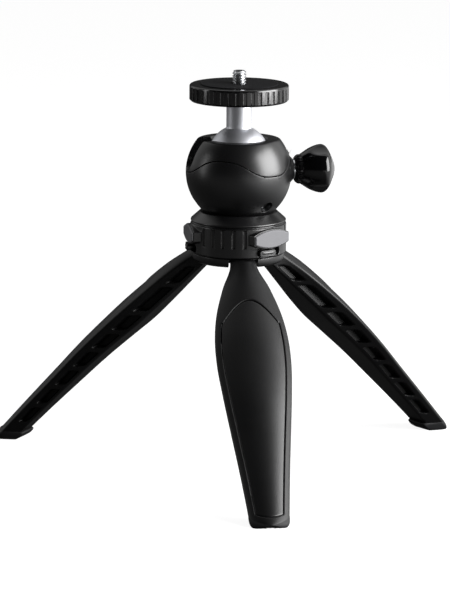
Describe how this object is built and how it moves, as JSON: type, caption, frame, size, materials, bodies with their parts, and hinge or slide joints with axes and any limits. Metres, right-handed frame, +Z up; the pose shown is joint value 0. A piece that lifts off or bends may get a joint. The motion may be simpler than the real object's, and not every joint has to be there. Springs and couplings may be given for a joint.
{
  "type": "mini tripod",
  "caption": "Mini table tripod with folding hand-grip legs, a panning ball head with a drop notch, a lock knob and a camera disc with a standard screw.",
  "frame": {"origin": "floor level under the column's vertical axis, legs spread", "axes": "+Z up the column to the camera screw; -Y along the front leg; the lock knob points to about +X"},
  "size_m": [0.2172, 0.1908, 0.1803],
  "materials": {
    "satin_black": "satin, fine moulded grain",
    "leg_black": "satin, fine moulded grain",
    "panel_black": "satin, smoother than the leg",
    "gloss_black": "gloss",
    "pad_grey": "satin",
    "sole_rubber": "matt",
    "top_rubber": "matt, fine ribs",
    "ball_aluminium": "satin turned",
    "core_aluminium": "as machined",
    "steel": "bright zinc",
    "brass": "as turned",
    "nylon": "natural nylon"
  },
  "bodies": {
    "base": {"leg_hub": "satin_black", "hinge_pin_front": "steel", "hinge_pin_right": "steel", "hinge_pin_left": "steel", "pan_friction_washer": "nylon"},
    "head": {"upper_shell": "satin_black", "lower_shell": "satin_black", "socket_core": "core_aluminium", "shell_screws": "steel", "seat_ring": "nylon", "knob_bush": "steel", "pan_flange": "satin_black", "grip_ring": "satin_black", "grip_pad_back_right": "pad_grey", "grip_pad_left": "pad_grey", "grip_pad_front_right": "pad_grey", "pan_bolt": "steel", "pan_washer": "steel"},
    "cup": {"ball_cup": "nylon"},
    "ball": {"ball_stem": "ball_aluminium", "camera_screw": "steel"},
    "disc": {"camera_disc": "gloss_black", "disc_insert": "brass", "disc_pad": "top_rubber"},
    "shoe": {"clamp_shoe": "brass"},
    "knob": {"lock_screw": "steel", "lock_knob": "gloss_black"},
    "pan_lock": {"pan_lock_ring": "satin_black"},
    "leg_front": {"leg_front": "leg_black", "leg_eye_front": "leg_black", "leg_panel_front": "panel_black", "foot_front": "sole_rubber"},
    "leg_right": {"leg_right": "leg_black", "leg_eye_right": "leg_black", "leg_panel_right": "panel_black", "foot_right": "sole_rubber"},
    "leg_left": {"leg_left": "leg_black", "leg_eye_left": "leg_black", "leg_panel_left": "panel_black", "foot_left": "sole_rubber"}
  },
  "joints": [
    {"name": "head_pan", "type": "hinge", "parent": "base", "child": "head", "pos_m": [0, 0, 0.10561], "axis": [0, 0, 1], "continuous": true},
    {"name": "pan_lock_turn", "type": "hinge", "parent": "head", "child": "pan_lock", "pos_m": [0, 0, 0.09801], "axis": [0, 0, 1], "range_deg": [0, 12]},
    {"name": "side_tilt", "type": "hinge", "parent": "head", "child": "cup", "pos_m": [0, 0, 0.14181], "axis": [0.9969, 0.0785, 0], "range_deg": [-27, 27]},
    {"name": "drop_tilt", "type": "hinge", "parent": "cup", "child": "ball", "pos_m": [0, 0, 0.14181], "axis": [0.0785, -0.9969, 0], "range_deg": [-27, 90]},
    {"name": "disc_spin", "type": "hinge", "parent": "ball", "child": "disc", "pos_m": [0, 0, 0.16661], "axis": [0, 0, 1], "continuous": true},
    {"name": "shoe_slide", "type": "slide", "parent": "head", "child": "shoe", "axis": [0.9969, 0.0785, 0], "range_m": [0, 0.0008]},
    {"name": "knob_turn", "type": "hinge", "parent": "shoe", "child": "knob", "pos_m": [0.02991, 0.00235, 0.13481], "axis": [0.9969, 0.0785, 0], "range_deg": [0, 360]},
    {"name": "leg_fold_front", "type": "hinge", "parent": "base", "child": "leg_front", "pos_m": [0, -0.0123, 0.09951], "axis": [1, 0, 0], "range_deg": [0, 47.5]},
    {"name": "leg_fold_right", "type": "hinge", "parent": "base", "child": "leg_right", "pos_m": [0.01065, 0.00615, 0.09951], "axis": [-0.5, 0.866, 0], "range_deg": [0, 47.5]},
    {"name": "leg_fold_left", "type": "hinge", "parent": "base", "child": "leg_left", "pos_m": [-0.01065, 0.00615, 0.09951], "axis": [-0.5, -0.866, 0], "range_deg": [0, 47.5]}
  ],
  "couplings": [
    {"joint": "shoe_slide", "follows": "knob_turn", "m_per_rad": 0.00012732}
  ]
}
